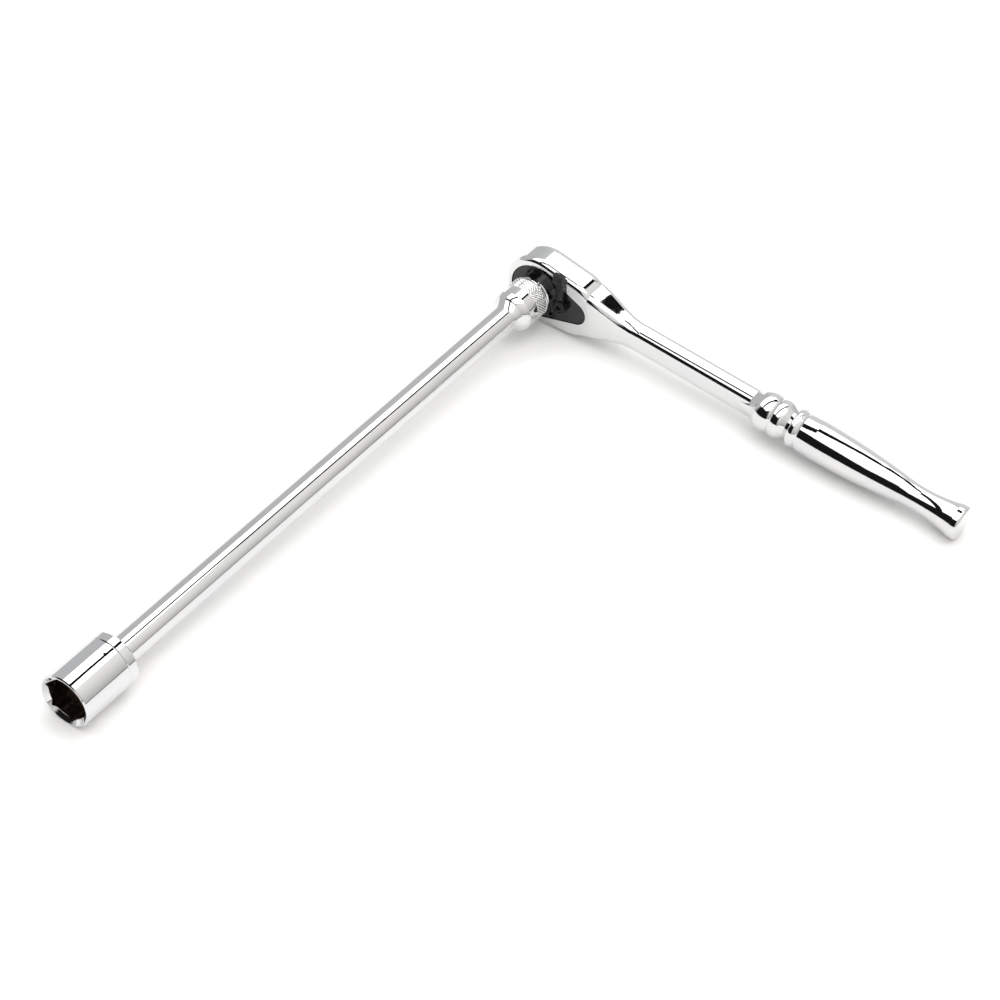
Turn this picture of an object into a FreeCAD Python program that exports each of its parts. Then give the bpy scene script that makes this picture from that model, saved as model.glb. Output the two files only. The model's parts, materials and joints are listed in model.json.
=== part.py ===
import FreeCAD, Part
import Sketcher
import math
import os
import re

# A half-inch-drive teardrop ratchet with a long extension bar and a six-point socket, lying on a
# surface. Each piece is modelled level: X runs along the handle from the drive axis, Y runs back
# through the head from its front face, and Z is up across the head. The drive and the extension
# point to -Y. At the end the whole assembly is set down on its three points of contact.

SIZES = {
    # head forging
    "head_radius": 17.7, "nose_offset": 18.0, "nose_radius": 15.55, "head_depth": 16.9,
    "front_round": 3.0, "back_round": 5.8,
    # cover plate and its recess
    "plate_radius": 13.9, "plate_tip_offset": 21.75, "plate_tip_radius": 6.3,
    "plate_thickness": 1.8, "plate_sink": 0.4, "plate_gap": 0.1, "plate_edge": 0.25,
    # shoulder between head and neck: station along X, half depth, half width and corner of each section
    "root_x": 21.0, "root_depth": 7.5, "root_width": 13.3, "root_corner": 3.4,
    "throat_x": 32.5, "throat_depth": 7.6, "throat_width": 11.2, "throat_corner": 3.6,
    "taper_x": 44.0, "taper_depth": 6.1, "taper_width": 7.6, "taper_corner": 3.8,
    "neck_start": 55, "neck_half_depth": 5.2, "neck_half_width": 6.4, "neck_corner": 3.7,
    "axis_depth": 7.9, "handle_length": 229.3,
    # play at the bottom of every bore, and how far a cutting sketch stands clear of the metal
    "bore_slack": 0.2, "cut_clear": 1.0, "pad_overlap": 0.01,
    # drive gear
    "gear_tip": 10.3, "gear_root": 9.4, "gear_teeth": 36, "gear_width": 7.5, "gear_slack": 0.35,
    "gap_share": 0.43, "hub_radius": 9.0, "hub_proud": 3.1, "hub_fit": 0.08, "hub_edge": 0.5,
    "pilot_radius": 5.9, "pilot_length": 2.6, "pilot_fit": 0.06, "side_gap": 0.05,
    # square drive, male and female
    "square_male": 12.66, "square_female": 12.84, "male_round": 1.3, "female_round": 0.9,
    "anvil_length": 14.6, "anvil_chamfer": 1.0,
    # detent balls
    "ball_radius": 2.2, "ball_proud": 0.7, "ball_hole": 2.25, "ball_from_tip": 6.6,
    "ball_hole_bottom": -1.2, "detent_radius": 2.55, "detent_reach": 7.6,
    "ball_spring_radius": 1.5, "ball_spring_wire": 0.3, "ball_spring_turns": 4, "spring_gap": 0.02,
    # thrust washer and hub seal
    "washer_thickness": 0.6, "washer_inner": 6.2, "washer_outer": 9.9,
    "seal_ring": 8.58, "seal_wire": 0.46, "seal_groove_width": 1.1, "seal_groove_floor": 8.05,
    # pawl: toe, toe corner, shank and tail of its outline, from the drive axis or the pivot
    "pivot_offset": 14.4, "toe_x": 8.0, "toe_z": 4.5, "toe_corner_x": 9.1, "toe_corner_z": 5.1,
    "shank_x": 11.2, "shank_z": 5.9, "tail_offset": 2.6, "pawl_tail": 5.2, "pawl_width": 6.0,
    "pawl_gap": 0.15, "pawl_window": 4.0, "window_width": 2.6, "relief_x": 5.3, "relief_radius": 5.5,
    "pawl_pocket": 7.9, "pawl_rock": 5.5, "pawl_clear": 0.1,
    # selector shaft, plunger and spring
    "shaft_radius": 2.5, "shaft_fit": 0.06, "shaft_seat": 4.0, "shaft_tap": 3.6,
    "shaft_seal_ring": 2.2, "shaft_seal_wire": 0.28, "shaft_groove_width": 0.7, "shaft_groove_floor": 1.88,
    "plunger_radius": 0.95, "plunger_fit": 0.05, "plunger_reach": 3.92, "plunger_back": -0.4,
    "plunger_hole_bottom": -1.9, "plunger_spring_radius": 0.7, "plunger_spring_wire": 0.13,
    "plunger_spring_turns": 4, "plunger_turn": 27.5,
    # reversing lever
    "lever_angle": 99, "lever_hub": 3.6, "lever_hub_height": 2.8, "lever_sink": 0.3,
    "lever_arm_width": 4.2, "lever_arm_height": 1.6, "tab_start": 13.6, "tab_end": 18.6,
    "tab_width": 5.4, "tab_height": 2.9, "lever_clear": 0.15, "lever_edge": 0.5, "lever_hub_edge": 0.35,
    "lever_bore_fit": 0.02, "lever_seat_fit": 0.06,
    "lever_screw_head": 2.7, "lever_screw_deep": 1.2, "lever_screw_edge": 0.3, "lever_screw_length": 4.5,
    "lever_screw_key": 2.5, "screw_core": 1.2, "thread_fit": 0.03,
    # cover screws
    "screw_x": 9.6, "screw_z": 8.6, "screw_head": 2.1, "screw_shank": 1.15, "screw_length": 5.2,
    "screw_gap": 0.06, "screw_point": 0.3, "screw_key": 2.0, "key_depth": 0.9, "tap_slack": 0.6,
    # collar, beads and grip, along X from the drive axis
    "collar_start": 107.5, "collar_foot": 113.5, "collar_root": 4.8, "collar_neck": 5.8,
    "collar_sweep": 11, "bead_radius": 9.65, "bead_one_start": 121.8, "bead_one_drop": 1.0,
    "bead_one_crown": 10, "notch_side": 0.9, "notch_one": 129.8, "notch_depth": 0.8, "bead_drop": 0.3,
    "bead_two_start": 130.8, "bead_two_end": 135.4, "bead_two_drop": 0.5, "bead_two_crown": 7,
    "waist": 137.9, "waist_radius": 7.5, "bead_three_start": 140.0, "bead_three_end": 143.2,
    "bead_three_drop": 0.35, "bead_three_crown": 3.6, "notch_two": 144.2,
    "grip_peak": 152.5, "grip_radius": 9.62, "grip_ease": 0.35, "grip_thin": 206.9,
    "thin_radius": 5.97, "flare_sweep": 70, "lip_radius": 8.45, "lip_round": 1.5,
    # extension bar
    "female_gap": 4.65, "extension_length": 307.6, "female_radius": 10.45, "female_depth": 13.6,
    "female_length": 14.2, "shoulder_length": 8.2, "shoulder_turn": 0.42, "shoulder_rise": 0.45,
    "shoulder_sweep": 6.4, "rim_chamfer": 0.6, "bar_radius": 6.8, "band_start": 1.0,
    "band_length": 7.6, "band_sink": 0.25,
    "male_length": 16.4, "male_root": 1.0, "male_corner": 8.3, "male_lead": 1.9, "male_ease": 0.6,
    "male_step": 1.1, "male_step_sink": 0.1, "corner_reach": 11,
    # socket
    "socket_radius": 12.7, "socket_length": 31.8, "socket_seat": 15.0, "socket_square_depth": 16.2,
    "hex_flats": 19.1, "hex_depth": 13.2, "mouth_radius": 11.75, "mouth_depth": 1.7,
    "through_radius": 5.6, "rim_round": 0.5, "rear_chamfer": 0.9, "rear_groove": 4.9,
    "groove_width": 0.7, "groove_depth": 0.35, "detent_from_rear": 10.2, "pin_hole_radius": 0.6,
    # how far the drive and all that hangs on it has turned: one tooth of the gear
    "drive_turn": -10,
}

# two positions closer than this, in mm, count as the same
TOUCHING = 1e-4
# a cut that takes away less than this, in mm3, has missed
LEAST_CUT = 1e-3

DOC = FreeCAD.newDocument("RatchetWrench")
DIMS = DOC.addObject("Spreadsheet::Sheet", "Dims")


def fill_sheet():
    for row, (alias, size) in enumerate(SIZES.items(), 1):
        DIMS.set(f"A{row}", alias)
        DIMS.set(f"B{row}", str(size))
        DIMS.setAlias(f"B{row}", alias)
    DOC.recompute()


def cells(text):
    """Write an expression in the sheet's own names out in full, as Dims.name."""
    return re.sub(r"[a-z]\w+", lambda m: f"Dims.{m[0]}" if m[0] in SIZES else m[0], str(text))


def value(text):
    return float(DIMS.evalExpression(re.sub(r"Dims\.", "", cells(text))))


def bind(thing, **expressions):
    for name, text in expressions.items():
        thing.setExpression(name.replace("__", "."), cells(text))


# ---------------------------------------------------------------- sketches

def new_body(label):
    body = DOC.addObject("PartDesign::Body", label)
    body.Label = label
    return body


def sketch_on(body, role, offset="0"):
    plane = [f for f in body.Origin.OriginFeatures if f.Role == role][0]
    sketch = body.newObject("Sketcher::SketchObject", f"{body.Name}_outline")
    sketch.AttachmentSupport = (plane, [""])
    sketch.MapMode = "FlatFace"
    sketch.AttachmentOffset = FreeCAD.Placement(FreeCAD.Vector(0, 0, value(offset)), FreeCAD.Rotation())
    bind(sketch, AttachmentOffset__Base__z=offset)
    return sketch


def dimension(sketch, kind, geometry, place, text):
    """Hold one coordinate or radius of a sketch to an expression."""
    size = value(text)
    if kind == "Radius":
        index = sketch.addConstraint(Sketcher.Constraint("Radius", geometry, size))
    elif abs(size) < TOUCHING:
        axis = -2 if kind == "DistanceX" else -1
        sketch.addConstraint(Sketcher.Constraint("PointOnObject", geometry, place, axis))
        return
    else:
        index = sketch.addConstraint(Sketcher.Constraint(kind, geometry, place, size))
    sketch.setExpression(f"Constraints[{index}]", cells(text))


def arc_between(first, last, radius, turn):
    """The arc from first to last; turn is 1 anticlockwise or -1 clockwise, doubled if over half."""
    chord = last - first
    middle = (first + last) / 2
    height = math.sqrt(max(radius ** 2 - chord.Length ** 2 / 4, 0))
    side = FreeCAD.Vector(-chord.y, chord.x, 0) / chord.Length
    direction = math.copysign(1, turn)
    centre = middle + side * height * direction * (-1 if abs(turn) > 1 else 1)
    circle = Part.Circle(centre, FreeCAD.Vector(0, 0, 1), radius)
    ends = [first, last] if direction > 0 else [last, first]
    angles = [math.atan2(p.y - centre.y, p.x - centre.x) for p in ends]
    if angles[1] < angles[0]:
        angles[1] += 2 * math.pi
    return Part.ArcOfCircle(circle, *angles)


def outline(sketch, start, steps):
    """Draw a closed outline. A step is (x, y) for a line or (x, y, radius, turn) for an arc."""
    corners = [start] + [step[:2] for step in steps[:-1]]
    points = [FreeCAD.Vector(value(x), value(y), 0) for x, y in corners]
    first_geometry = sketch.GeometryCount
    heads, tails = [], []
    for number, step in enumerate(steps):
        here, there = points[number], points[(number + 1) % len(points)]
        if len(step) == 2:
            index = sketch.addGeometry(Part.LineSegment(here, there))
            forward = True
        else:
            index = sketch.addGeometry(arc_between(here, there, value(step[2]), step[3]))
            forward = step[3] > 0
        heads.append((index, 1 if forward else 2))
        tails.append((index, 2 if forward else 1))
    for number in range(len(steps)):
        sketch.addConstraint(Sketcher.Constraint("Coincident", *tails[number - 1], *heads[number]))
    for number, (x, y) in enumerate(corners):
        dimension(sketch, "DistanceX", *heads[number], x)
        dimension(sketch, "DistanceY", *heads[number], y)
    for number, step in enumerate(steps):
        if len(step) == 4:
            dimension(sketch, "Radius", first_geometry + number, 0, step[2])
    return sketch


def circle(sketch, x, y, radius):
    centre = FreeCAD.Vector(value(x), value(y), 0)
    index = sketch.addGeometry(Part.Circle(centre, FreeCAD.Vector(0, 0, 1), value(radius)))
    dimension(sketch, "DistanceX", index, 3, x)
    dimension(sketch, "DistanceY", index, 3, y)
    dimension(sketch, "Radius", index, 0, radius)
    return sketch


def rectangle(sketch, left, right, bottom, top):
    return outline(sketch, (left, bottom), [(right, bottom), (right, top), (left, top), (left, bottom)])


def rounded_rectangle(sketch, centre, half_x, half_y, corner):
    left, right = f"{centre} - {half_x}", f"{centre} + {half_x}"
    low, high = f"-({half_y})", f"{half_y}"
    steps = [
        (f"{right} - {corner}", low),
        (right, f"{low} + {corner}", corner, 1),
        (right, f"{high} - {corner}"),
        (f"{right} - {corner}", high, corner, 1),
        (f"{left} + {corner}", high),
        (left, f"{high} - {corner}", corner, 1),
        (left, f"{low} + {corner}"),
        (f"{left} + {corner}", low, corner, 1),
    ]
    return outline(sketch, (f"{left} + {corner}", low), steps)


def teardrop(sketch, big, small, offset):
    """Two circles on the X axis joined by their outer tangents."""
    slope = f"(({big} - {small}) / {offset})"
    level = f"sqrt(1 - {slope}^2)"
    big_x, big_y = f"({big}) * {slope}", f"({big}) * {level}"
    tip_x, tip_y = f"{offset} + ({small}) * {slope}", f"({small}) * {level}"
    steps = [
        (big_x, f"-({big_y})", big, 2),
        (tip_x, f"-({tip_y})"),
        (tip_x, tip_y, small, 1),
        (big_x, big_y),
    ]
    return outline(sketch, (big_x, big_y), steps)


def polygon(sketch, sides, flats, turn=0):
    """A regular polygon about the origin, by its distance across flats."""
    points = []
    for number in range(sides):
        angle = math.radians(turn + 360 * number / sides)
        reach = f"{flats} / 2 / {math.cos(math.pi / sides):.12f}"
        points.append((f"{reach} * {math.cos(angle):.12f}", f"{reach} * {math.sin(angle):.12f}"))
    return outline(sketch, points[0], points[1:] + [points[0]])


# ---------------------------------------------------------------- features

def feature(body, kind, sketch, name, reverse=False, **expressions):
    made = body.newObject(f"PartDesign::{kind}", f"{body.Name}_{name}")
    made.Profile = sketch
    if hasattr(made, "Reversed"):
        made.Reversed = reverse
    bind(made, **expressions)
    sketch.Visibility = False
    return made


def pad(body, sketch, length, reverse=False, name="pad"):
    return feature(body, "Pad", sketch, name, reverse, Length=length)


def cut(body, make, name):
    """Make a cutting feature and be sure that it took something away."""
    DOC.recompute()
    before = body.Shape.Volume
    made = make()
    DOC.recompute()
    if body.Shape.Volume > before - LEAST_CUT:
        raise RuntimeError(f"{body.Label}: {name} cuts nothing")
    return made


def pocket(body, sketch, length, reverse=False, name="pocket"):
    return cut(body, lambda: feature(body, "Pocket", sketch, name, reverse, Length=length), name)


def pocket_both_ways(body, sketch, length, name="pocket"):
    def make():
        made = feature(body, "Pocket", sketch, name, False, Length=length)
        made.Midplane = True
        return made
    return cut(body, make, name)


def revolve(body, sketch, axis, name="turned"):
    made = feature(body, "Revolution", sketch, name)
    made.ReferenceAxis = (sketch, [axis])
    made.Angle = 360
    return made


def groove(body, sketch, axis, name="groove"):
    def make():
        made = feature(body, "Groove", sketch, name)
        made.ReferenceAxis = (sketch, [axis])
        made.Angle = 360
        return made
    return cut(body, make, name)


def round_edges(body, chosen, radius, kind="Fillet"):
    """Fillet or chamfer the edges of the body so far that chosen(edge) picks."""
    DOC.recompute()
    tip = body.Tip
    names = [f"Edge{n}" for n, edge in enumerate(tip.Shape.Edges, 1) if chosen(edge)]
    made = body.newObject(f"PartDesign::{kind}", f"{body.Name}_{kind.lower()}")
    made.Base = (tip, names)
    bind(made, **{"Radius" if kind == "Fillet" else "Size": radius})
    DOC.recompute()
    return made


def in_plane(y):
    """Pick edges that lie wholly in the plane at the given Y."""
    depth = value(y)

    def chosen(edge):
        box = edge.BoundBox
        return box.YLength < TOUCHING and abs(box.YMin - depth) < TOUCHING
    return chosen


def ring_about(centre):
    """Pick the circular edge with the given centre."""
    def chosen(edge):
        round_edge = edge.Curve.TypeId == "Part::GeomCircle"
        return round_edge and (edge.Curve.Center - centre).Length < TOUCHING
    return chosen


def repeat_round(body, original, sketch, count):
    pattern = body.newObject("PartDesign::PolarPattern", f"{body.Name}_pattern")
    pattern.Originals = [original]
    pattern.Axis = (sketch, ["N_Axis"])
    pattern.Angle = 360
    bind(pattern, Occurrences=count)
    body.Tip = pattern
    DOC.recompute()
    return pattern


FACING_Y = FreeCAD.Rotation(FreeCAD.Vector(1, 0, 0), 90)


def about_y(angle):
    """A turn seen from the front of the head, anticlockwise positive."""
    return FreeCAD.Rotation(FreeCAD.Vector(0, -1, 0), angle)


def at(x, y, z, rotation=FreeCAD.Rotation()):
    return FreeCAD.Placement(FreeCAD.Vector(value(x), value(y), value(z)), rotation)


# ---------------------------------------------------------------- depths through the head, along Y

PLATE_BACK = "plate_sink + plate_thickness"
PLATE_MIDDLE = "(plate_sink + plate_thickness / 2)"
GEAR_FRONT = f"{PLATE_BACK} + side_gap"
GEAR_BACK = f"{GEAR_FRONT} + gear_width"
WASHER_FRONT = f"{GEAR_BACK} + side_gap"
GEAR_FLOOR = f"{WASHER_FRONT} + washer_thickness + side_gap"
PILOT_END = f"{GEAR_BACK} + pilot_length"
PAWL_FRONT = f"{PLATE_BACK} + pawl_gap"
PAWL_BACK = f"{PAWL_FRONT} + pawl_width"
PAWL_FLOOR = f"{PAWL_BACK} + pawl_gap"
PAWL_MIDDLE = f"{PAWL_FRONT} + pawl_width / 2"
SHAFT_END = f"{PAWL_FLOOR} + shaft_seat"
ANVIL_TIP = "-hub_proud - anvil_length"
DRIVE_BALL_Y = f"{ANVIL_TIP} + ball_from_tip"
FEMALE_RIM = "-female_gap"
MALE_TIP = "-female_gap - extension_length"
SOCKET_REAR = f"{MALE_TIP} + socket_seat"
SOCKET_FRONT = f"{SOCKET_REAR} - socket_length"
EXTENSION_BALL_Y = f"{SOCKET_REAR} - detent_from_rear"


# ---------------------------------------------------------------- the ratchet's fixed pieces

def grip_profile(sketch):
    """Half section of the beads, the swelling grip and its flared end, about the handle's axis."""
    fall = "(grip_radius - thin_radius)"
    run = "(grip_thin - grip_peak)"
    both = f"(({run}^2 + {fall}^2) / (2 * {fall}))"
    belly = f"({both} - flare_sweep)"
    meet_x = f"grip_peak + {run} * {belly} / {both}"
    meet_r = f"(grip_radius - {belly}) + ({both} - {fall}) * {belly} / {both}"
    lip_rise = "(lip_radius - thin_radius)"
    lip_x = f"grip_thin + sqrt(2 * flare_sweep * {lip_rise} - {lip_rise}^2)"
    notch = "bead_radius - notch_depth"
    steps = [
        ("handle_length", "0"),
        ("handle_length", "lip_radius - lip_round"),
        ("handle_length - lip_round", "lip_radius", "lip_round", 1),
        (lip_x, "lip_radius"),
        ("grip_thin", "thin_radius", "flare_sweep", -1),
        (meet_x, meet_r, "flare_sweep", -1),
        ("grip_peak", "grip_radius", belly, 1),
        ("notch_two + notch_side", "grip_radius - grip_ease", belly, 1),
        ("notch_two", notch),
        ("bead_three_end", "bead_radius - bead_three_drop"),
        ("bead_three_start", "bead_radius - bead_three_drop", "bead_three_crown", 1),
        ("waist", "waist_radius"),
        ("bead_two_end", "bead_radius - bead_two_drop"),
        ("bead_two_start", "bead_radius - bead_drop", "bead_two_crown", 1),
        ("notch_one", notch),
        ("notch_one - notch_side", "bead_radius - bead_drop"),
        ("bead_one_start", "bead_radius - bead_one_drop", "bead_one_crown", 1),
        ("collar_foot", "collar_neck", "collar_sweep", -1),
        ("collar_start", "collar_root"),
        ("collar_start", "0"),
    ]
    return outline(sketch, ("collar_start", "0"), steps)


def make_ratchet_body():
    body = new_body("ratchet_body")
    pad(body, teardrop(sketch_on(body, "XZ_Plane"), "head_radius", "nose_radius", "nose_offset"),
        "head_depth", reverse=True, name="head")
    round_edges(body, in_plane("head_depth"), "back_round")
    round_edges(body, in_plane("0"), "front_round")
    stations = ["root_x", "throat_x", "taper_x", "neck_start"]
    sections = [
        ("root_depth", "root_width", "root_corner"),
        ("throat_depth", "throat_width", "throat_corner"),
        ("taper_depth", "taper_width", "taper_corner"),
        ("neck_half_depth", "neck_half_width", "neck_corner"),
    ]
    drawn = [
        rounded_rectangle(sketch_on(body, "YZ_Plane", x), "axis_depth", *section)
        for x, section in zip(stations, sections)
    ]
    blend = feature(body, "AdditiveLoft", drawn[0], "shoulder")
    blend.Sections = drawn[1:]
    neck = rounded_rectangle(sketch_on(body, "YZ_Plane", "neck_start"), "axis_depth", *sections[-1])
    pad(body, neck, "(collar_foot + bead_one_start) / 2 - neck_start", name="neck")
    revolve(body, grip_profile(sketch_on(body, "XZ_Plane", "-axis_depth")), "H_Axis", name="grip")
    recess = sketch_on(body, "XZ_Plane", "cut_clear")
    teardrop(recess, "plate_radius + plate_gap", "plate_tip_radius + plate_gap", "plate_tip_offset")
    pocket(body, recess, f"{PLATE_BACK} + cut_clear", name="plate_recess")
    gear = circle(sketch_on(body, "XZ_Plane"), "0", "0", "gear_tip + gear_slack")
    pocket(body, gear, GEAR_FLOOR, name="gear_pocket")
    pilot = circle(sketch_on(body, "XZ_Plane"), "0", "0", "pilot_radius + pilot_fit")
    pocket(body, pilot, f"{PILOT_END} + bore_slack", name="pilot_bore")
    pawl = circle(sketch_on(body, "XZ_Plane"), "pivot_offset", "0", "pawl_pocket")
    pocket(body, pawl, PAWL_FLOOR, name="pawl_pocket")
    seat = circle(sketch_on(body, "XZ_Plane"), "pivot_offset", "0", "shaft_radius + shaft_fit")
    pocket(body, seat, f"{SHAFT_END} + bore_slack", name="shaft_bore")
    for side in ("", "-"):
        tapped = circle(sketch_on(body, "XZ_Plane"), "screw_x", f"{side}screw_z", "screw_shank + screw_gap")
        pocket(body, tapped, "plate_sink + screw_length + tap_slack", name="tapped_hole")
    return body


def make_cover_plate():
    body = new_body("cover_plate")
    front = "-plate_sink"
    pad(body, teardrop(sketch_on(body, "XZ_Plane", front), "plate_radius", "plate_tip_radius",
                       "plate_tip_offset"), "plate_thickness", reverse=True)
    round_edges(body, in_plane("plate_sink"), "plate_edge", "Chamfer")
    hole = circle(sketch_on(body, "XZ_Plane", front), "0", "0", "hub_radius + hub_fit")
    pocket(body, hole, "plate_thickness", name="hub_hole")
    pivot = circle(sketch_on(body, "XZ_Plane", front), "pivot_offset", "0", "shaft_radius + shaft_fit")
    pocket(body, pivot, "plate_thickness", name="shaft_hole")
    for side in ("", "-"):
        seat = circle(sketch_on(body, "XZ_Plane", front), "screw_x", f"{side}screw_z",
                      "screw_shank + screw_gap")
        pocket(body, seat, "plate_thickness", name="screw_hole")
        centre = FreeCAD.Vector(value("screw_x"), value("plate_sink"), value(f"{side}screw_z"))
        round_edges(body, ring_about(centre), "screw_head - screw_shank", "Chamfer")
    return body


def countersunk_screw(label, x, z, head, shank, length, key):
    """A countersunk screw flush with the cover plate, with a six-sided key recess."""
    body = new_body(label)
    profile = outline(sketch_on(body, "XY_Plane"), ("0", "0"), [
        (head, "0"), (shank, f"{head} - {shank}"), (shank, f"{length} - screw_point"),
        (f"{shank} - screw_point", length), ("0", length), ("0", "0"),
    ])
    revolve(body, profile, "V_Axis")
    pocket(body, polygon(sketch_on(body, "XZ_Plane"), 6, key), "key_depth", name="key")
    body.Placement = at(x, "plate_sink", z)
    return body


def make_cover_screws():
    """The two countersunk cover screws, either side of the pawl, as one group."""
    screws = [
        countersunk_screw(f"cover_screw_{name}", "screw_x", f"{side}screw_z",
                          "(screw_head - screw_gap)", "screw_shank", "screw_length", "screw_key")
        for name, side in (("upper", ""), ("lower", "-"))
    ]
    group = DOC.addObject("Part::Compound", "cover_screws")
    group.Links = screws
    return group


def make_thrust_washer():
    ring = new_body("thrust_washer")
    sketch = sketch_on(ring, "XZ_Plane", f"-({WASHER_FRONT})")
    circle(sketch, "0", "0", "washer_outer")
    circle(sketch, "0", "0", "washer_inner")
    pad(ring, sketch, "washer_thickness", reverse=True)
    return ring


# ---------------------------------------------------------------- drive

def toothed_disc(body, tip, root, front, width):
    """A ratchet gear with V gaps, one of them centred on +X."""
    pad(body, circle(sketch_on(body, "XZ_Plane", f"-({front})"), "0", "0", tip), width, reverse=True)
    half_gap = math.radians(360 * value("gap_share / gear_teeth"))
    open_x = f"({tip}) * {math.cos(half_gap):.12f}"
    open_y = f"({tip}) * {math.sin(half_gap):.12f}"
    beyond_x = f"({open_x}) + (({open_x}) - ({root}))"
    sketch = sketch_on(body, "XZ_Plane", f"-({front})")
    outline(sketch, (root, "0"), [
        (beyond_x, f"-2 * ({open_y})"), (beyond_x, f"2 * ({open_y})"), (root, "0"),
    ])
    gap = pocket(body, sketch, width, name="tooth_gap")
    repeat_round(body, gap, sketch, "gear_teeth")


def make_drive_gear():
    """Gear, hub and square anvil forged in one, with a pilot behind and a cross hole for the ball."""
    body = new_body("drive_gear")
    toothed_disc(body, "gear_tip", "gear_root", GEAR_FRONT, "gear_width")
    pilot = circle(sketch_on(body, "XZ_Plane", f"-({GEAR_BACK})"), "0", "0", "pilot_radius")
    pad(body, pilot, "pilot_length", reverse=True, name="pilot")
    hub = circle(sketch_on(body, "XZ_Plane", f"-({GEAR_FRONT})"), "0", "0", "hub_radius")
    pad(body, hub, f"{GEAR_FRONT} + hub_proud", name="hub")
    round_edges(body, in_plane("-hub_proud"), "hub_edge", "Chamfer")
    half = "square_male / 2"
    square = sketch_on(body, "XZ_Plane", "hub_proud - pad_overlap")
    rounded_rectangle(square, "0", half, half, "male_round")
    pad(body, square, "anvil_length + pad_overlap", name="anvil")
    round_edges(body, in_plane(ANVIL_TIP), "anvil_chamfer", "Chamfer")
    hole = circle(sketch_on(body, "XY_Plane", "ball_hole_bottom"), "0", DRIVE_BALL_Y, "ball_hole")
    pocket(body, hole, f"{half} - ball_hole_bottom", reverse=True, name="ball_hole")
    channel = sketch_on(body, "XY_Plane")
    near, far = f"{PLATE_MIDDLE} - seal_groove_width / 2", f"{PLATE_MIDDLE} + seal_groove_width / 2"
    rectangle(channel, "seal_groove_floor", "hub_radius + cut_clear", near, far)
    groove(body, channel, "V_Axis", name="seal_groove")
    return body


def make_hub_seal():
    """Rubber ring in the hub's groove, which keeps the grease in."""
    ring = DOC.addObject("Part::Torus", "hub_seal")
    bind(ring, Radius1="seal_ring", Radius2="seal_wire")
    ring.Placement = at("0", PLATE_MIDDLE, "0", FACING_Y)
    return ring


def make_ball(label, y):
    ball = DOC.addObject("Part::Sphere", label)
    bind(ball, Radius="ball_radius")
    ball.Placement = at("0", y, "square_male / 2 + ball_proud - ball_radius")
    return ball


def coil_spring(label, radius, wire, turns, length, placement):
    """A helical compression spring, its coils swept along a helix up its own Z."""
    helix = DOC.addObject("Part::Helix", f"{label}_path")
    bind(helix, Radius=radius, Pitch=f"({length} - 2 * {wire}) / {turns}", Height=f"{length} - 2 * {wire}")
    section = DOC.addObject("Part::Circle", f"{label}_wire")
    bind(section, Radius=wire)
    section.Placement = at(radius, "0", "0", FACING_Y)
    spring = DOC.addObject("Part::Sweep", label)
    spring.Sections = [section]
    spring.Spine = (helix, [])
    spring.Solid = True
    spring.Frenet = True
    spring.Placement = placement
    return spring


def make_ball_spring(label, y):
    top = "(square_male / 2 + ball_proud - 2 * ball_radius)"
    length = f"({top} - ball_hole_bottom - 3 * spring_gap)"
    return coil_spring(label, "ball_spring_radius", "ball_spring_wire", "ball_spring_turns", length,
                       at("0", y, "ball_hole_bottom + ball_spring_wire + spring_gap"))


# ---------------------------------------------------------------- reversing mechanism

def make_pawl():
    """Rocking pawl: two toes toothed to the gear, a bore on the shaft and a window for the plunger.

    It is drawn square to the gear, rocked so that the upper toe is in mesh, and then cut by the
    gear's outline both as it stands and as it will stand once the pawl has rocked the other way."""
    blank = new_body("pawl_blank")
    depth = f"-({PAWL_FRONT})"
    tail = "pivot_offset + tail_offset"
    tail_z = "sqrt(pawl_tail^2 - tail_offset^2)"
    sketch = sketch_on(blank, "XZ_Plane", depth)
    outline(sketch, ("toe_x", "-toe_z"), [
        ("toe_corner_x", "-toe_corner_z"), ("shank_x", "-shank_z"), (tail, f"-({tail_z})"),
        (tail, tail_z, "pawl_tail", 1),
        ("shank_x", "shank_z"), ("toe_corner_x", "toe_corner_z"), ("toe_x", "toe_z"),
        ("toe_x", "-toe_z"),
    ])
    pad(blank, sketch, "pawl_width", reverse=True)
    bore = circle(sketch_on(blank, "XZ_Plane", depth), "pivot_offset", "0", "shaft_radius + shaft_fit")
    pocket(blank, bore, "pawl_width", name="bore")
    half = "pawl_window * sqrt(0.5)"
    window = sketch_on(blank, "XZ_Plane", f"-({PAWL_MIDDLE} - window_width / 2)")
    outline(window, ("pivot_offset", "0"), [
        (f"pivot_offset + {half}", f"-{half}"),
        (f"pivot_offset + {half}", half, "pawl_window", 1),
        ("pivot_offset", "0"),
    ])
    pocket(blank, window, "window_width", name="window")
    relief = circle(sketch_on(blank, "XZ_Plane", depth), "relief_x", "0", "relief_radius")
    pocket(blank, relief, "pawl_width", name="relief")
    pivot = FreeCAD.Vector(value("pivot_offset"), 0, 0)
    blank.Placement = FreeCAD.Placement(FreeCAD.Vector(), about_y(value("pawl_rock")), pivot)
    pawl = blank
    for number, turn in enumerate((0, 2 * value("pawl_rock"))):
        cutter = new_body(f"mesh_cutter_{number}")
        toothed_disc(cutter, "gear_tip + pawl_clear", "gear_root + pawl_clear",
                     f"{PAWL_FRONT} - cut_clear", "pawl_width + 2 * cut_clear")
        cutter.Placement = FreeCAD.Placement(FreeCAD.Vector(), about_y(turn), pivot)
        shaped = DOC.addObject("Part::Cut", "pawl" if number else "pawl_upper_toe")
        shaped.Base, shaped.Tool = pawl, cutter
        pawl = shaped
    return pawl


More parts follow.
